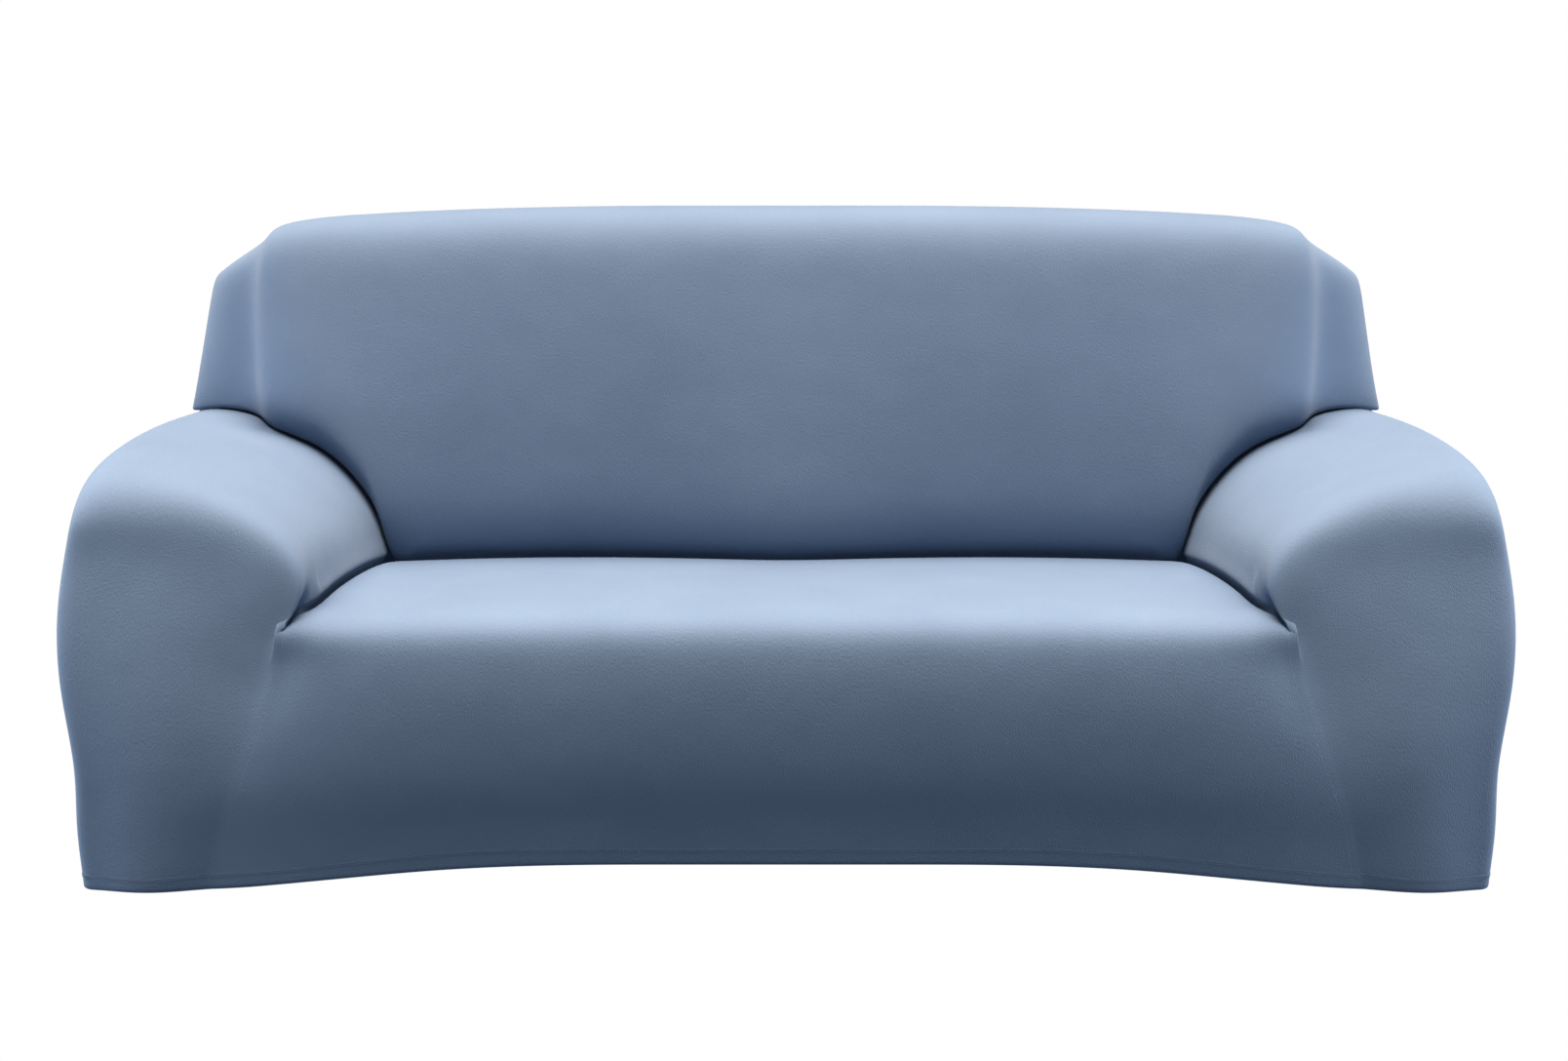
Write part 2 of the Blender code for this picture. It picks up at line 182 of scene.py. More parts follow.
def crease_x(y):
    """Half width of the seat between the creases beside the arms, at depth y."""
    x, _ = arm_section(0, y)
    for near, far in zip(JOGS, JOGS[1:]):
        if far.y <= y < near.y:
            return x + near.out + (far.out - near.out) * (near.y - y) / (near.y - far.y)
    return x


def seat_rows():
    """Seat deck and apron: rows run from the seam in the back crease forward and down to the hem."""
    rows = []
    width = crease_x(DECK[0].y)
    for place in (CREASE_SEAM, CREASE_HALF_WAY):
        row = [Vector((column.share * width, column.crease + place.back, place.z)) for column in ACROSS]
        row += [Vector((width - edge.off, edge.crease + place.back, place.z)) for edge in SEAT_EDGE]
        row.append(Vector((width + TUCK_LEAN, SEAT_EDGE[-1].crease + place.back - DECK_TURN, place.z)))
        if place == CREASE_SEAM:
            for point in row[len(ACROSS):]:
                point.y = CORNER_Y
        rows.append(row)
    for deck in DECK:
        width = crease_x(deck.y)
        depth = min(1.0, deck.tuck / TUCK_WHOLE)
        row = []
        for column in ACROSS:
            y = deck.y + (column.crease - DECK_TURN - DECK[0].y) * deck.follow
            row.append(Vector((column.share * width, y, deck.top - column.drop)))
        for edge in SEAT_EDGE:
            y = deck.y + (edge.crease - DECK_TURN - DECK[0].y) * deck.follow
            off = edge.plain + (edge.off - edge.plain) * depth
            row.append(Vector((width - off, y, deck.top - edge.drop * depth)))
        row.append(Vector((width + TUCK_LEAN, deck.y, deck.top - deck.tuck)))
        rows.append(row)
    for face in FACE:
        row = [face_point(face, column.share * face.seam) for column in ACROSS]
        row += [face_point(face, face.seam - edge.plain) for edge in SEAT_EDGE]
        row.append(face_point(face, face.seam))
        rows.append(row)
    rows.append([point + Vector((0.0, HEM_FOLD, -FACE[-1].z)) for point in rows[-1]])
    return rows


def arm_top(i, j):
    """Cage point of the arm's top: i from the tuck beside the seat outwards, j from the back forwards."""
    deck = DECK[max(j, 0)]
    nose = NOSE[j - len(DECK)] if j >= len(DECK) - len(NOSE) else 0.0
    if i <= len(ARM_EDGE):
        back = ARM_TUCK if j < 0 else 0.0
        if i == 0:
            return Vector((crease_x(deck.y) + TUCK_LEAN, deck.y + back, deck.top - deck.tuck))
        lip = ARM_EDGE[i - 1]
        depth = min(1.0, deck.tuck / TUCK_WHOLE)
        out = lip.plain + (lip.off - lip.plain) * depth
        return Vector((crease_x(deck.y) + out, deck.y + back, deck.top + lip.rise * depth))
    point = ARM[i - len(ARM_EDGE)]
    x, z = arm_section(i - len(ARM_EDGE), deck.y)
    y = deck.y + (point.rear_y - DECK[0].y) * (1.0 - max(j, 0) / (len(DECK) - 1)) ** 2
    y += point.back * nose
    z -= point.fall * nose
    if j < 0:
        y += ARM_TUCK
    return Vector((x, y, z))


def arm_front(i, k):
    """Cage point of the arm's front face, k rows under its top edge."""
    face = FACE[k - 1]
    if i == 0:
        return face_point(face, face.seam)
    if i <= len(ARM_EDGE):
        lip = ARM_EDGE[i - 1]
        share = lip.under if k == 1 else lip.low
        return face_point(face, face.seam + (face.outer - face.seam) * share)
    point = ARM[i - len(ARM_EDGE)]
    share = point.under if k == 1 else point.low
    place = face_point(face, face.seam + (face.outer - face.seam) * share)
    place.y -= FRONT_CROWN * math.sin(math.pi * share) ** 2 * (1.0 - face.lift)
    place.z += (point.front_z - point.fall - DECK[-1].top) * face.lift
    return place


def arm_side(j, k):
    """Cage point of the arm's outer side, k rows under its top edge; j below zero lies behind the wing."""
    if j >= 0:
        edge = arm_top(ARM_COLUMNS - 1, j)
        inset = 0.0
    else:
        edge = Vector((ARM[-1].rear_x, SIDES[-1 - j].y, ARM[-1].rear_z))
        inset = SIDES[-1 - j].inset
    if k == 0:
        return edge - Vector((inset, 0.0, 0.0))
    face = FACE[k - 1]
    z = face.z + (edge.z - DECK[-1].top) * face.lift
    return Vector((face.outer - inset, edge.y, z))


def arm_grids():
    """One arm: its top with the inner side, its front and its outer side, which share their edges."""
    columns = range(ARM_COLUMNS)
    depths = range(-1, len(DECK))
    heights = range(1, len(FACE) + 1)
    nose = len(DECK) - 1
    fold = FACE[-1].z
    top = [[arm_top(i, j) for i in columns] for j in depths]
    top[0][-1] = arm_side(-1, 0)
    front = [top[-1]] + [[arm_front(i, k) for i in columns] for k in heights]
    front.append([point + Vector((0.0, HEM_FOLD, -fold)) for point in front[-1]])
    front[-1][-1].x -= HEM_FOLD
    outer = [[arm_side(j, k) for j in range(nose, -len(SIDES) - 1, -1)] for k in range(len(FACE) + 1)]
    for k in heights:
        outer[k][0] = front[k][-1].copy()
    outer.append([point + Vector((-HEM_FOLD, 0.0, -fold)) for point in outer[-1]])
    outer[-1][0] = front[-1][-1].copy()
    return [grid[::-1] for grid in (top, front, outer)]


def uneven(point):
    """The right half sits a little wider than the left, most of all at the wing's top corner."""
    if point.x <= 0.0:
        return point - CENTRE
    corner = ramp(point.z, *CORNER_Z) * ramp(point.x, *CORNER_X)
    return Vector((point.x * WIDER + CORNER_OUT * corner, point.y, point.z)) - CENTRE


def mirrored(grid):
    """The same grid on the other side of the cover."""
    return [[Vector((-p.x, p.y, p.z)) for p in reversed(row)] for row in grid]


def whole(rows):
    """Rows across the whole cover from rows across its right half, which start at the middle."""
    return [[Vector((-p.x, p.y, p.z)) for p in reversed(row[1:])] + row for row in rows]


SEW_WITHIN = 0.00005      # points of two edges this near each other are sewn into one
SMOOTHING = 3             # levels of smoothing: each step of a cage is cut in eight


def sewn(name, panels):
    """One smooth skin from several panels' grids, sewn where their edges meet.

    Seen from outside with a grid's rows stacked upwards, each row runs from left to right.
    A face's material index is its panel's place in the list, and the UV map runs along the cloth.
    """
    bm = bmesh.new()
    cloth = bm.loops.layers.uv.new("cloth")
    for index, grids in enumerate(panels):
        for grid in grids:
            points = [[uneven(point) for point in row] for row in grid]
            rows = [[bm.verts.new(point) for point in row] for row in points]
            middle = len(points[0]) // 2
            v = 0.0
            for r in range(len(rows) - 1):
                rise = (points[r + 1][middle] - points[r][middle]).length
                u = 0.0
                for c in range(len(rows[0]) - 1):
                    run = (points[r][c + 1] - points[r][c]).length
                    corners = ((r, c, u, v), (r, c + 1, u + run, v),
                               (r + 1, c + 1, u + run, v + rise), (r + 1, c, u, v + rise))
                    face = bm.faces.new([rows[a][b] for a, b, _, _ in corners])
                    face.material_index = index
                    face.smooth = True
                    for loop, corner in zip(face.loops, corners):
                        loop[cloth].uv = corner[2:]
                    u += run
                v += rise
    bmesh.ops.remove_doubles(bm, verts=bm.verts, dist=SEW_WITHIN)
    mesh = bpy.data.meshes.new(name)
    for _ in panels:
        mesh.materials.append(None)
    bm.to_mesh(mesh)
    bm.free()
    skin = bpy.data.objects.new(name, mesh)
    bpy.context.scene.collection.objects.link(skin)
    smooth = skin.modifiers.new("smooth", "SUBSURF")
    smooth.levels = SMOOTHING
    smooth.render_levels = SMOOTHING
    smooth.boundary_smooth = "PRESERVE_CORNERS"
    return settled(skin)


def settled(piece):
    """The piece with its modifiers applied, as a plain mesh."""
    bpy.context.view_layer.update()
    shape = piece.evaluated_get(bpy.context.evaluated_depsgraph_get())
    mesh = bpy.data.meshes.new_from_object(shape)
    piece.modifiers.clear()
    piece.data = mesh
    mesh.name = piece.name
    return piece


# Small folds where the tuck beside the seat ends, listed one by one: side, where each starts and ends,
# how wide it is, and how far the cloth stands out there or, below zero, lies back.
Fold = namedtuple("Fold", "side start end width height")
FOLDS = (
    Fold(-1, (0.688, -0.325, 0.410), (0.706, -0.300, 0.452), 0.007, 0.0045),
    Fold(-1, (0.700, -0.372, 0.412), (0.716, -0.358, 0.450), 0.010, -0.0060),
    Fold(-1, (0.711, -0.388, 0.400), (0.717, -0.384, 0.428), 0.004, -0.0035),
    Fold(-1, (0.719, -0.396, 0.400), (0.726, -0.392, 0.436), 0.005, 0.0040),
    Fold(-1, (0.724, -0.428, 0.380), (0.746, -0.440, 0.280), 0.014, 0.0022),
    Fold(1, (0.686, -0.330, 0.410), (0.704, -0.306, 0.450), 0.008, 0.0040),
    Fold(1, (0.702, -0.376, 0.412), (0.718, -0.362, 0.446), 0.009, -0.0055),
    Fold(1, (0.712, -0.392, 0.400), (0.720, -0.388, 0.432), 0.004, -0.0040),
    Fold(1, (0.722, -0.398, 0.402), (0.730, -0.394, 0.440), 0.006, 0.0035),
    Fold(1, (0.726, -0.428, 0.378), (0.748, -0.440, 0.276), 0.015, 0.0019),
)
FOLD_ENDS = 0.35          # share of a fold's height that is left at its ends


def vectors(mesh, name):
    """One vector of each of the mesh's points, its place or its normal."""
    numbers = np.empty(len(mesh.vertices) * 3)
    mesh.vertices.foreach_get(name, numbers)
    return numbers.reshape(-1, 3)


def distances(places, start, end):
    """How far each place lies from a straight line, and how far along that line."""
    start, along = np.array(start), np.array(end - start)
    t = np.clip((places - start) @ along / (along @ along), 0.0, 1.0)
    return np.linalg.norm(places - start - t[:, None] * along, axis=1), t


def pressed(skin, folds):
    """Presses soft ridges and troughs into a skin, each along a short line that it fades out from."""
    mesh = skin.data
    places = vectors(mesh, "co")
    normals = vectors(mesh, "normal")
    shift = np.zeros(len(places))
    for fold in folds:
        ends = [uneven(Vector((x * fold.side, y, z))) for x, y, z in (fold.start, fold.end)]
        away, t = distances(places, *ends)
        fade = FOLD_ENDS + (1.0 - FOLD_ENDS) * np.sin(math.pi * t)
        shift += fold.height * fade * np.exp(-(away / fold.width) ** 2)
    mesh.vertices.foreach_set("co", (places + normals * shift[:, None]).ravel())
    mesh.update()
    return skin


# The three creases in one half, where shade is painted: behind the seat, beside it, and where the back
# meets the arm.
seat_half = crease_x(DECK[0].y)
CREASES = (
    [Vector((column.share * seat_half, column.crease, DECK[0].top)) for column in ACROSS],
    [Vector((crease_x(deck.y), deck.y, deck.top)) for deck in DECK[:-1]],
    [Vector((point.rear_x, point.rear_y, point.rear_z)) for point in ARM],
)
PAINTED_SHADE_FADE = 0.032         # the shade painted along a crease fades over this distance from it
DECK_PAINTED_SHADE_FADE = 0.120         # and over this one on the seat, in front of the back


def paint_crease_shade(skin, fades):
    """Marks how near a crease each point of a skin lies, for the shade painted into the cloth's colour
    there.

    The mark fades out over its own distance from each of the three creases.
    """
    mesh = skin.data
    places = vectors(mesh, "co")
    shade = np.zeros(len(places))
    for line, fade in zip(CREASES, fades):
        for side in (-1, 1):
            points = [uneven(Vector((p.x * side, p.y, p.z))) for p in line]
            for start, end in zip(points, points[1:]):
                away, _ = distances(places, start, end)
                shade = np.maximum(shade, np.exp(-away / fade))
    tuck = mesh.attributes.new("tuck", "FLOAT", "POINT")
    tuck.data.foreach_set("value", shade)
    return skin


half_seat = seat_rows()
arm = arm_grids()
lower_skin = sewn("lower_skin", [[whole(half_seat)[::-1]], [mirrored(grid) for grid in arm], arm])
# Shade is painted into the colour of the seat and the arms near the creases.
paint_crease_shade(pressed(lower_skin, FOLDS), (DECK_PAINTED_SHADE_FADE, PAINTED_SHADE_FADE, PAINTED_SHADE_FADE))


def panel_from(skin, index, name):
    """Cuts one panel out of a skin along its seams."""
    bm = bmesh.new()
    bm.from_mesh(skin.data)
    others = [face for face in bm.faces if face.material_index != index]
    bmesh.ops.delete(bm, geom=others, context="FACES")
    for face in bm.faces:
        face.material_index = 0
    mesh = bpy.data.meshes.new(name)
    bm.to_mesh(mesh)
    bm.free()
    panel = bpy.data.objects.new(name, mesh)
    bpy.context.scene.collection.objects.link(panel)
    return panel


CLOTH = 0.0020            # thickness of the knit with its raised face
DYE_DEEP = (0.132, 0.189, 0.287, 1.0)
DYE_PALE = (0.192, 0.264, 0.382, 1.0)
CREASE_PAINTED_SHADE = (0.42, 0.47, 0.54, 1.0)     # painted shade: the dye is multiplied by this near a crease
RIBS = (1.0, 0.38, 1.0)   # the knit's loops are drawn out into short ribs by this stretch


def lined(panel, finish):
    """Gives the panel its thickness, inwards, and its material."""
    wall = panel.modifiers.new("cloth thickness", "SOLIDIFY")
    wall.thickness = CLOTH
    wall.offset = -1.0
    wall.thickness_clamp = 1.0
    wall.use_quality_normals = True
    settled(panel)
    panel.data.materials.clear()
    panel.data.materials.append(finish)
    return panel


def noise(nodes, scale, detail):
    """A noise pattern, finer as its scale grows."""
    pattern = nodes.new("ShaderNodeTexNoise")
    pattern.inputs["Scale"].default_value = scale
    pattern.inputs["Detail"].default_value = detail
    return pattern


def bump(nodes, strength, distance):
    """A relief of the surface, up to this high in metres."""
    relief = nodes.new("ShaderNodeBump")
    relief.inputs["Strength"].default_value = strength
    relief.inputs["Distance"].default_value = distance
    return relief


def knit(name):
    """Matt stretch knit: fine jersey ribs, a brushed face with soft sheen, slightly uneven dye, painted
    shade in creases.
    """
    material = bpy.data.materials.new(name)
    material.use_nodes = True
    nodes = material.node_tree.nodes
    links = material.node_tree.links
    shader = nodes["Principled BSDF"]
    shader.inputs["Roughness"].default_value = 0.88
    shader.inputs["Specular IOR Level"].default_value = 0.25
    shader.inputs["Sheen Weight"].default_value = 0.22
    shader.inputs["Sheen Roughness"].default_value = 0.45
    shader.inputs["Sheen Tint"].default_value = (0.80, 0.88, 1.0, 1.0)
    place = nodes.new("ShaderNodeTexCoord")
    mottle = noise(nodes, scale=7.0, detail=4.0)
    links.new(place.outputs["Object"], mottle.inputs["Vector"])
    wales = nodes.new("ShaderNodeMapping")
    wales.inputs["Scale"].default_value = RIBS
    links.new(place.outputs["UV"], wales.inputs["Vector"])
    loops = noise(nodes, scale=620.0, detail=3.0)
    links.new(wales.outputs["Vector"], loops.inputs["Vector"])
    dye = nodes.new("ShaderNodeMix")
    dye.data_type = "RGBA"
    dye.inputs["A"].default_value = DYE_DEEP
    dye.inputs["B"].default_value = DYE_PALE
    speckle = nodes.new("ShaderNodeMix")
    speckle.inputs["Factor"].default_value = 0.45
    links.new(mottle.outputs["Fac"], speckle.inputs["A"])
    links.new(loops.outputs["Fac"], speckle.inputs["B"])
    links.new(speckle.outputs["Result"], dye.inputs["Factor"])
    # Painted shade: the tuck mark darkens the dye towards the creases.
    tuck = nodes.new("ShaderNodeAttribute")
    tuck.attribute_name = "tuck"
    painted_shade_mix = nodes.new("ShaderNodeMix")
    painted_shade_mix.data_type = "RGBA"
    painted_shade_mix.blend_type = "MULTIPLY"
    painted_shade_mix.inputs["B"].default_value = CREASE_PAINTED_SHADE
    links.new(tuck.outputs["Fac"], painted_shade_mix.inputs["Factor"])
    links.new(dye.outputs["Result"], painted_shade_mix.inputs["A"])
    links.new(painted_shade_mix.outputs["Result"], shader.inputs["Base Color"])
    pull = noise(nodes, scale=11.0, detail=1.0)
    links.new(place.outputs["Object"], pull.inputs["Vector"])
    soft = bump(nodes, strength=0.35, distance=0.004)
    links.new(pull.outputs["Fac"], soft.inputs["Height"])
    grain = bump(nodes, strength=0.9, distance=0.0009)
    links.new(loops.outputs["Fac"], grain.inputs["Height"])
    links.new(soft.outputs["Normal"], grain.inputs["Normal"])
    links.new(grain.outputs["Normal"], shader.inputs["Normal"])
    return material


def finished(panel):
    """Hides the solid that the panel stands for, and puts the panel on the body it rides on."""
    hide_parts(panel.name.removesuffix("_cloth"))
    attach(panel, "root")


finish = knit("slate_knit")
seat = lined(panel_from(lower_skin, 0, "seat_and_front_cloth"), finish)
finished(seat)
for index, side in ((1, "left"), (2, "right")):
    arm_cloth = lined(panel_from(lower_skin, index, "arm_" + side + "_cloth"), finish)
    finished(arm_cloth)
bpy.data.objects.remove(lower_skin)

# ------------------------------------------------------------------------------------------------
# Inside back: the front of the back, the roll over its top, and the narrow wings beside the cushion.
# It is one panel of the same knit, pulled over the cushion's swell and over the top. Its foot goes down
# into the tucks, where it is sewn to the seat and the arms, and its wings end on the arms' sides.
# ------------------------------------------------------------------------------------------------
CREASE_LIP = Crease(0.003, 0.401)
CREASE_UNDER = Crease(0.024, 0.393)             # behind that lip the cushion's foot is tucked under
CORNER_SEAM = Vector((-0.005, 0.034, 0.366))    # from the arm's rear corner: seam of the inside back there
CORNER_LIP = Vector((-0.006, 0.010, 0.395))     # and its lip
ARM_LIP = 0.004           # the inside back turns up this far off the arm
ARM_SEAM_BACK = 0.036     # and its seam on the arm lies this far behind the crease
CORNER_CLEAR = 0.002      # extra clearance of that seam where the arm's section bends most
WING_LIP = Vector((0.001, 0.0, 0.004))          # the wing's side bulges out over the arm by this much
WING_SINK = 0.007         # the wing's front corner comes down this far with the arm's rounded edge
WING_SEAM = 0.0006        # clearance of the wing's seam over the arm's side
SEAM = 0.0003             # the sewn edges of two panels lie this far apart
# Upper end of each column of the inside back: top of the face, top height, rear edge, plan angle that
# the column faces, share of the roll over the top, bulge of the cushion. The first seven stand on the
# seat, the next eight on the arm, and the last three behind the wing's front edge.
Top = namedtuple("Top", "x y z rear_x rear_z turn roll bulge")
TOPS = (
    Top(0.000, 0.129, 0.976, 0.000, 0.959, 0.00, 1.00, 0.024),
    Top(0.132, 0.133, 0.976, 0.135, 0.959, 0.00, 1.00, 0.024),
    Top(0.265, 0.141, 0.976, 0.270, 0.958, 0.00, 1.00, 0.024),
    Top(0.397, 0.143, 0.974, 0.400, 0.956, 0.00, 1.00, 0.024),
    Top(0.520, 0.140, 0.971, 0.525, 0.953, 0.00, 1.00, 0.024),
    Top(0.623, 0.134, 0.967, 0.630, 0.949, 0.00, 0.98, 0.024),
    Top(0.702, 0.131, 0.963, 0.705, 0.945, 0.00, 0.96, 0.024),
    Top(0.757, 0.128, 0.960, 0.757, 0.941, 0.00, 0.92, 0.024),
    Top(0.799, 0.127, 0.956, 0.790, 0.937, 0.00, 0.88, 0.024),
    Top(0.835, 0.130, 0.951, 0.820, 0.932, 0.02, 0.82, 0.024),
    Top(0.864, 0.141, 0.944, 0.847, 0.924, 0.06, 0.76, 0.024),
    Top(0.881, 0.166, 0.934, 0.872, 0.913, 0.20, 0.68, 0.014),
    Top(0.905, 0.226, 0.914, 0.894, 0.899, 0.25, 0.50, 0.000),
    Top(0.952, 0.246, 0.886, 0.915, 0.884, 0.30, 0.40, 0.000),
    Top(0.992, 0.282, 0.868, 0.932, 0.873, 0.80, 0.40, -0.001),
    Top(1.004, 0.336, 0.860, 0.947, 0.865, 1.35, 0.40, -0.001),
    Top(1.006, 0.400, 0.857, 0.960, 0.859, 1.57, 0.40, -0.001),
    Top(0.996, REAR_Y, 0.853, 0.970, 0.854, 1.57, 0.40, 0.000),
)
# Stations up the face of the back, and the share of the bulge that each has: the cushion's foot swells out.
RISE = ((0.0, 0.0), (0.05, 0.42), (0.17, 1.0), (0.36, 1.0), (0.66, 0.75), (1.0, 0.0))
ROLL_DROP = 0.120         # the roll over the top starts this far under it
ROLL_DEPTH = 0.116        # and reaches this far back
WING_DROP, WING_DEPTH = 0.030, 0.022     # the same for a column that faces sideways
FOOT_PAINTED_SHADE_FADE = 0.012         # the shade painted along the crease fades this soon on the cushion's swelling foot
ROLL_MIDDLE = (0.26, 0.76)               # shares of that depth and height at the middle of the roll


def back_foot(index):
    """Lower end of a column of the inside back: the seam in the tuck, and the lip of the crease."""
    if index < len(ACROSS):
        column = ACROSS[index]
        x = column.share * ARM[0].rear_x
        seam = Vector((x, column.crease + CREASE_SEAM.back + SEAM, CREASE_SEAM.z))
        return seam, Vector((x, column.crease + CREASE_LIP.back, CREASE_LIP.z))
    place = index - len(ACROSS)
    if place == 0:
        corner = Vector((ARM[0].rear_x, ARM[0].rear_y, 0.0))
        return corner + CORNER_SEAM, corner + CORNER_LIP
    if place < len(ARM):
        here, before = ARM[place], ARM[place - 1]
        sink = WING_SINK if place == len(ARM) - 1 else 0.0
        after = ARM[min(place + 1, len(ARM) - 1)]
        across = Vector((after.rear_x - before.rear_x, 0.0, after.rear_z - before.rear_z)).normalized()
        up = Vector((-across.z, 0.0, across.x))
        on_arm = Vector((here.rear_x, here.rear_y, here.rear_z - sink))
        clear = SEAM + CORNER_CLEAR / place ** 2
        return on_arm + up * clear + Vector((0.0, ARM_SEAM_BACK, 0.0)), on_arm + up * ARM_LIP
    side = SIDES[place - len(ARM)]
    edge = Vector((ARM[-1].rear_x - side.inset, side.y, ARM[-1].rear_z + WING_SEAM))
    return edge, edge + WING_LIP


def inside_back_rows():
    """Inside back: columns rise from the creases, up the face, over the roll, to the rear edge."""
    columns = []
    for index, top in enumerate(TOPS):
        seam, lip = back_foot(index)
        sideways, ahead = math.sin(top.turn), math.cos(top.turn)
        inward = Vector((-sideways, ahead, 0.0))
        depth = ROLL_DEPTH * ahead * top.roll + WING_DEPTH * sideways
        rise = ROLL_DROP * ahead * top.roll + WING_DROP * sideways
        head = Vector((top.x, top.y, top.z - rise))
        under = Vector((lip.x, lip.y + CREASE_UNDER.back - CREASE_LIP.back, CREASE_UNDER.z))
        if index >= len(ACROSS):
            under = seam.lerp(lip, 0.5)
        column = [seam, under]
        for t, fullness in RISE:
            column.append(lip.lerp(head, t) - inward * (top.bulge * fullness))
        column.append(head + inward * (depth * ROLL_MIDDLE[0]) + Vector((0.0, 0.0, rise * ROLL_MIDDLE[1])))
        column.append(head + inward * depth + Vector((0.0, 0.0, rise)))
        column.append(Vector((top.rear_x, REAR_Y, top.rear_z)))
        if top.y == REAR_Y:
            for point in column:
                point.y = REAR_Y
        columns.append(column)
    return [list(row) for row in zip(*columns)]


back_skin = sewn("back_skin", [[whole(inside_back_rows())]])
# Shade is painted into the colour of the inside back near the creases.
paint_crease_shade(back_skin, (FOOT_PAINTED_SHADE_FADE, PAINTED_SHADE_FADE, PAINTED_SHADE_FADE))
back = lined(panel_from(back_skin, 0, "inside_back_cloth"), finish)
finished(back)
bpy.data.objects.remove(back_skin)

# ------------------------------------------------------------------------------------------------
# Outside back: the plain rear panel of the same knit, cut flat. It is sewn to the rear edges of the
# inside back and the arms, and hangs straight from there down to the floor.
# ------------------------------------------------------------------------------------------------
# Heights of its rows as shares of its top edge, and its half width at each, which the arms' and the
# wings' rear edges share.
Rear = namedtuple("Rear", "share half")
REARS = (
    Rear(0.000, 1.015),
    Rear(0.041, 1.015),
    Rear(0.132, 1.020),
    Rear(0.250, 1.012),
    Rear(0.400, 1.032),
    Rear(0.549, 1.035),
    Rear(0.673, 1.016),
    Rear(0.728, 1.011),
    Rear(0.960, 0.997),
    Rear(1.000, 0.980),
)
REAR_COLUMNS = (0.0, 0.30, 0.60, 0.79, 0.88, 0.95, 1.0)     # shares of that half width


def rear_edge(x):
    """Height of the rear top edge at x, read between the columns of the inside back."""
    for inner, outer in zip(TOPS, TOPS[1:]):
        if inner.rear_x <= x <= outer.rear_x:
            t = (x - inner.rear_x) / (outer.rear_x - inner.rear_x)
            return inner.rear_z + (outer.rear_z - inner.rear_z) * t
    return TOPS[-1].rear_z


rear_rows = []
for rear in REARS:
    row = []
    for share in REAR_COLUMNS:
        x = share * rear.half
        row.append(Vector((x, REAR_Y + SEAM + CLOTH, rear.share * rear_edge(share * REARS[-1].half))))
    rear_rows.append(row)
rear_skin = sewn("rear_skin", [[whole(rear_rows)[::-1]]])
rear = lined(panel_from(rear_skin, 0, "outside_back_cloth"), finish)
finished(rear)
bpy.data.objects.remove(rear_skin)

# ------------------------------------------------------------------------------------------------
# Hem stitching: a twin row of tonal thread that holds the elastic's channel all round the foot.
# Each stitch is a short straight piece of thread, and they follow the panels a little above the hem.
# ------------------------------------------------------------------------------------------------
STITCH_RISES = (0.0200, 0.0232)     # heights of the two rows over the hem
STITCH_PITCH = 0.0046
STITCH_LENGTH = 0.0034
THREAD_RADIUS = 0.00042
THREAD_SIDES = 6
THREAD_DYE = (0.128, 0.186, 0.285, 1.0)
PATH_STEP = 0.030         # distance between the points of a row's path
PATH_OUT = 0.035          # it runs this far outside the cloth, and the stitches are laid back on it


def hem_path(rise):
    """Points round the foot of the cover, from one rear corner by the front to the other."""
    face = FACE[-2]
    outer = face.outer + PATH_OUT
    front = face.arm - PATH_OUT
    steps = int((REAR_Y - front) / PATH_STEP)
    side = [Vector((outer, REAR_Y - (step + 0.5) * PATH_STEP, rise)) for step in range(steps)]
    steps = int(outer / PATH_STEP)
    across = []
    for step in range(steps, -steps - 1, -1):
        x = step * outer / steps
        across.append(Vector((x, front, hem_height(x) + rise)))
    return side + across + [Vector((-p.x, p.y, p.z)) for p in reversed(side)]


def rear_path(rise):
    """Points across the foot of the rear panel."""
    half = REARS[1].half - PATH_STEP / 2
    steps = int(half / PATH_STEP)
    return [Vector((half * step / steps, REAR_Y + PATH_OUT, rise)) for step in range(-steps, steps + 1)]


def thread(name):
    """Twisted polyester thread, dyed to the cloth and a little glossier."""
    material = bpy.data.materials.new(name)
    material.use_nodes = True
    nodes = material.node_tree.nodes
    links = material.node_tree.links
    shader = nodes["Principled BSDF"]
    shader.inputs["Base Color"].default_value = THREAD_DYE
    shader.inputs["Roughness"].default_value = 0.55
    place = nodes.new("ShaderNodeTexCoord")
    twist = noise(nodes, scale=2400.0, detail=2.0)
    links.new(place.outputs["Object"], twist.inputs["Vector"])
    strands = bump(nodes, strength=0.4, distance=0.0002)
    links.new(twist.outputs["Fac"], strands.inputs["Height"])
    links.new(strands.outputs["Normal"], shader.inputs["Normal"])
    return material


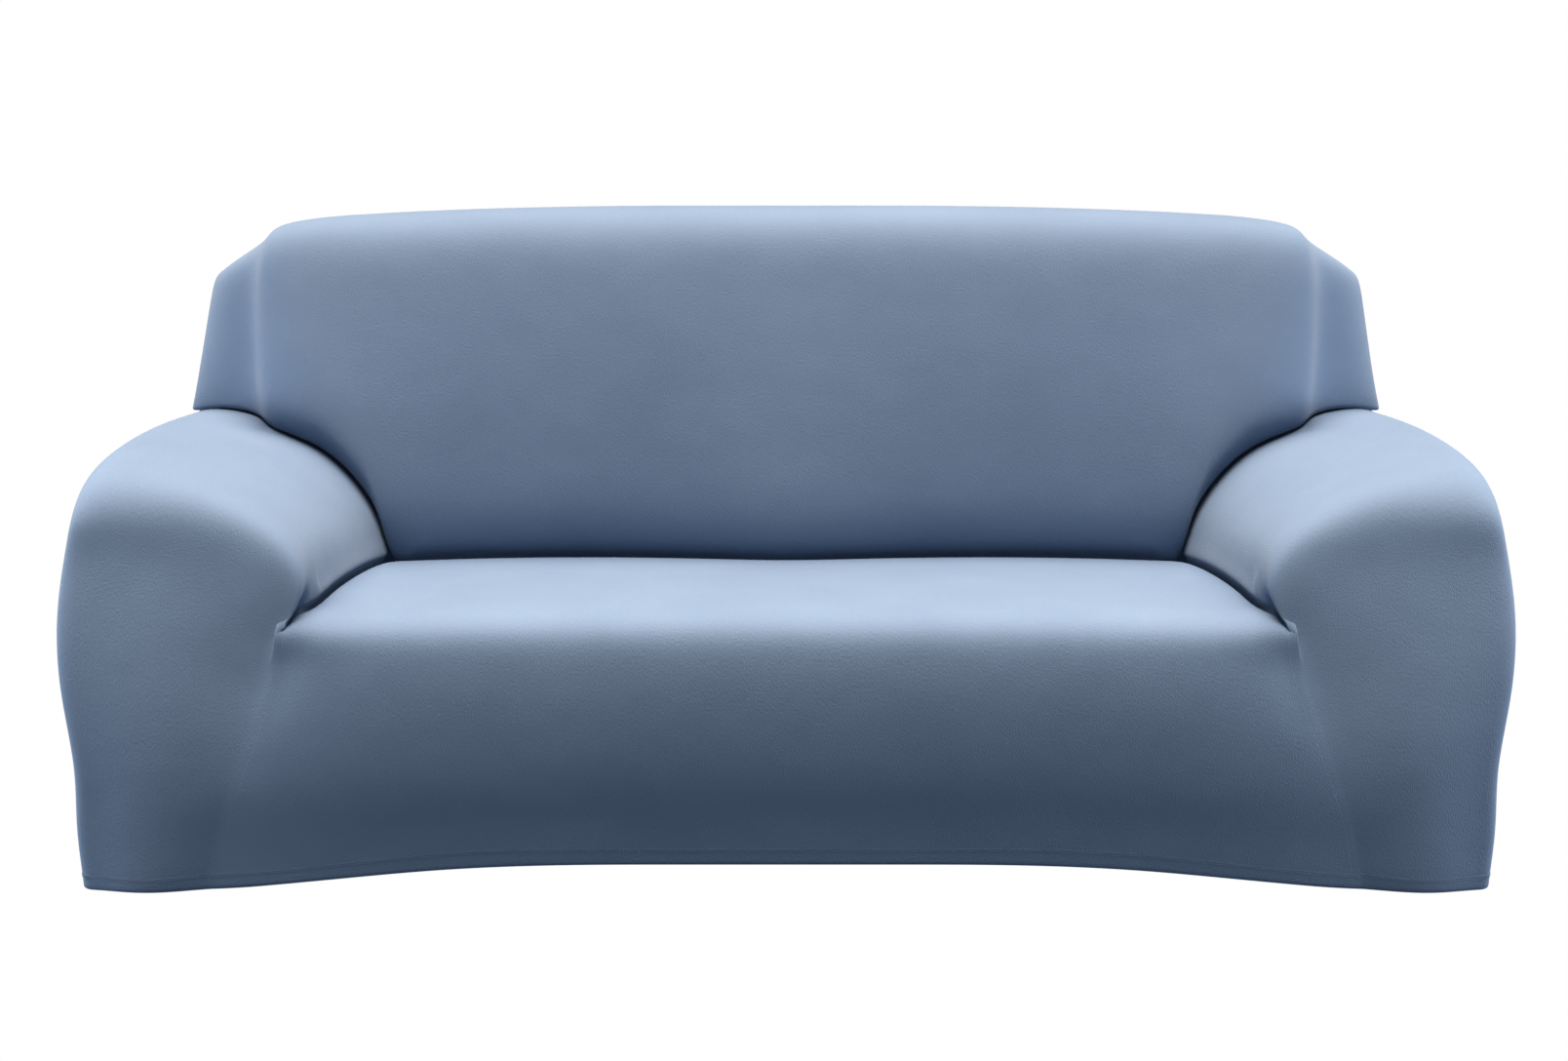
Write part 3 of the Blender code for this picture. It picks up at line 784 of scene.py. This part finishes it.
def stitch_tree():
    """Stitches along a curve, each laid on the nearest panel of a collection."""
    tree = bpy.data.node_groups.new("hem_stitches", "GeometryNodeTree")
    sockets = tree.interface
    sockets.new_socket("Geometry", in_out="INPUT", socket_type="NodeSocketGeometry")
    for name, kind in (("Panels", "NodeSocketCollection"), ("Pitch", "NodeSocketFloat"),
                       ("Length", "NodeSocketFloat"), ("Radius", "NodeSocketFloat"),
                       ("Thread", "NodeSocketMaterial")):
        sockets.new_socket(name, in_out="INPUT", socket_type=kind)
    sockets.new_socket("Geometry", in_out="OUTPUT", socket_type="NodeSocketGeometry")
    nodes, links = tree.nodes, tree.links
    given = nodes.new("NodeGroupInput")
    made = nodes.new("NodeGroupOutput")
    points = nodes.new("GeometryNodeCurveToPoints")
    points.mode = "LENGTH"
    links.new(given.outputs["Geometry"], points.inputs["Curve"])
    links.new(given.outputs["Pitch"], points.inputs["Length"])
    panels = nodes.new("GeometryNodeCollectionInfo")
    links.new(given.outputs["Panels"], panels.inputs["Collection"])
    cloth = nodes.new("GeometryNodeRealizeInstances")
    links.new(panels.outputs["Instances"], cloth.inputs["Geometry"])
    nearest = nodes.new("GeometryNodeProximity")
    nearest.target_element = "FACES"
    links.new(cloth.outputs["Geometry"], nearest.inputs[0])
    laid = nodes.new("GeometryNodeSetPosition")
    links.new(points.outputs["Points"], laid.inputs["Geometry"])
    links.new(nearest.outputs["Position"], laid.inputs["Position"])
    stitch = nodes.new("GeometryNodeMeshCylinder")
    stitch.inputs["Vertices"].default_value = THREAD_SIDES
    links.new(given.outputs["Radius"], stitch.inputs["Radius"])
    links.new(given.outputs["Length"], stitch.inputs["Depth"])
    copies = nodes.new("GeometryNodeInstanceOnPoints")
    links.new(laid.outputs["Geometry"], copies.inputs["Points"])
    links.new(stitch.outputs["Mesh"], copies.inputs["Instance"])
    links.new(points.outputs["Rotation"], copies.inputs["Rotation"])
    real = nodes.new("GeometryNodeRealizeInstances")
    links.new(copies.outputs["Instances"], real.inputs["Geometry"])
    dressed = nodes.new("GeometryNodeSetMaterial")
    links.new(real.outputs["Geometry"], dressed.inputs["Geometry"])
    links.new(given.outputs["Thread"], dressed.inputs["Material"])
    links.new(dressed.outputs["Geometry"], made.inputs["Geometry"])
    return tree


def stitched(name, paths, tree, sizes):
    """One piece of stitches along several paths, laid by the tree with the sizes given to its inputs."""
    curve = bpy.data.curves.new(name, "CURVE")
    curve.dimensions = "3D"
    for path in paths:
        spline = curve.splines.new("POLY")
        spline.points.add(len(path) - 1)
        for point, place in zip(spline.points, path):
            point.co = (*place, 1.0)
    row = bpy.data.objects.new(name + "_path", curve)
    bpy.context.scene.collection.objects.link(row)
    maker = row.modifiers.new("stitches", "NODES")
    maker.node_group = tree
    for item in tree.interface.items_tree:
        if item.in_out == "INPUT" and item.name in sizes:
            maker[item.identifier] = sizes[item.name]
    bpy.context.view_layer.update()
    shape = row.evaluated_get(bpy.context.evaluated_depsgraph_get())
    mesh = bpy.data.meshes.new_from_object(shape)
    bpy.data.objects.remove(row)
    mesh.materials.clear()
    mesh.materials.append(sizes["Thread"])
    piece = bpy.data.objects.new(name, mesh)
    bpy.context.scene.collection.objects.link(piece)
    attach(piece, "root")
    return piece


panels = bpy.data.collections.new("panels")
for name in ("seat_and_front_cloth", "arm_left_cloth", "arm_right_cloth", "outside_back_cloth"):
    panels.objects.link(bpy.data.objects[name])
stitch_sizes = {"Panels": panels, "Pitch": STITCH_PITCH, "Length": STITCH_LENGTH,
                "Radius": THREAD_RADIUS, "Thread": thread("slate_thread")}
stitcher = stitch_tree()
for end, path in (("front", hem_path), ("rear", rear_path)):
    rows = [[uneven(point) for point in path(rise)] for rise in STITCH_RISES]
    stitched("hem_stitches_" + end, rows, stitcher, stitch_sizes)
bpy.data.collections.remove(panels)

# ------------------------------------------------------------------------------------------------
# The studio: a plain pale floor, soft light from above with two weak lamps at the sides, and a camera at
# the photograph's viewing angle. The floor and the world look white to the camera alone: they add no
# light to the cloth but the world's own dim blue.
# ------------------------------------------------------------------------------------------------
FLOOR_SIZE = 40.0
bpy.ops.mesh.primitive_plane_add(size=FLOOR_SIZE)
floor = bpy.context.object
floor.name = "studio_floor"
pale = bpy.data.materials.new("studio_white")
pale.use_nodes = True
paper = pale.node_tree.nodes["Principled BSDF"]
paper.inputs["Base Color"].default_value = (0.0, 0.0, 0.0, 1.0)
paper.inputs["Specular IOR Level"].default_value = 0.0
paper.inputs["Emission Color"].default_value = (1.0, 1.0, 1.0, 1.0)
paper.inputs["Emission Strength"].default_value = 1.0
floor.data.materials.append(pale)
floor.visible_diffuse = False
floor.visible_glossy = False

world = bpy.data.worlds.new("studio")
world.use_nodes = True
bpy.context.scene.world = world
nodes = world.node_tree.nodes
links = world.node_tree.links
direction = nodes.new("ShaderNodeTexCoord")
split = nodes.new("ShaderNodeSeparateXYZ")
height = nodes.new("ShaderNodeMapRange")
height.inputs["From Min"].default_value = -1.0
shade = nodes.new("ShaderNodeValToRGB")
shade.color_ramp.elements[0].position = 0.45
shade.color_ramp.elements[0].color = (0.080, 0.108, 0.152, 1.0)
shade.color_ramp.elements[1].position = 0.62
shade.color_ramp.elements[1].color = (0.132, 0.162, 0.198, 1.0)
links.new(direction.outputs["Generated"], split.inputs["Vector"])
links.new(split.outputs["Z"], height.inputs["Value"])
links.new(height.outputs["Result"], shade.inputs["Fac"])
links.new(shade.outputs["Color"], nodes["Background"].inputs["Color"])
white = nodes.new("ShaderNodeBackground")
white.inputs["Color"].default_value = (1.0, 1.0, 1.0, 1.0)
seen = nodes.new("ShaderNodeLightPath")
either = nodes.new("ShaderNodeMixShader")
links.new(seen.outputs["Is Camera Ray"], either.inputs["Fac"])
links.new(nodes["Background"].outputs["Background"], either.inputs[1])
links.new(white.outputs["Background"], either.inputs[2])
links.new(either.outputs["Shader"], nodes["World Output"].inputs["Surface"])


def lamp(name, kind, energy, colour, place, aim):
    """A lamp that shines from its place towards a point."""
    light = bpy.data.lights.new(name, kind)
    light.energy = energy
    light.color = colour
    stand = bpy.data.objects.new(name, light)
    stand.location = place
    stand.rotation_euler = (Vector(aim) - Vector(place)).to_track_quat("-Z", "Y").to_euler()
    bpy.context.scene.collection.objects.link(stand)
    return light


overhead = lamp("overhead", "SUN", 9.1, (1.0, 0.90, 0.78), (0.0, 0.0, 4.0), (0.0, 0.0, 0.0))
overhead.angle = math.radians(48.0)
for side in (-1, 1):
    soft = lamp("side", "AREA", 36.0, (0.74, 0.87, 1.0), (3.0 * side, -0.6, 0.4), (side, -0.2, 0.4))
    soft.shape = "RECTANGLE"
    soft.size = 1.6
    soft.size_y = 0.8

PHOTO_WIDTH = 1608        # pixels across the photograph
FOCAL_PIXELS = 2150       # its focal length, in the same pixels
CAMERA_PLACE = (-0.0032, -3.3436, 1.07)
CAMERA_DIP = math.radians(10.4)      # it looks down by this angle
view = bpy.data.cameras.new("camera")
view.sensor_width = 36.0
view.lens = view.sensor_width * FOCAL_PIXELS / PHOTO_WIDTH
camera = bpy.data.objects.new("camera", view)
camera.location = CAMERA_PLACE
camera.rotation_euler = (math.radians(90.0) - CAMERA_DIP, 0.0, 0.0)
bpy.context.scene.collection.objects.link(camera)
bpy.context.scene.camera = camera
bpy.context.scene.view_settings.view_transform = "Standard"

bpy.context.view_layer.update()
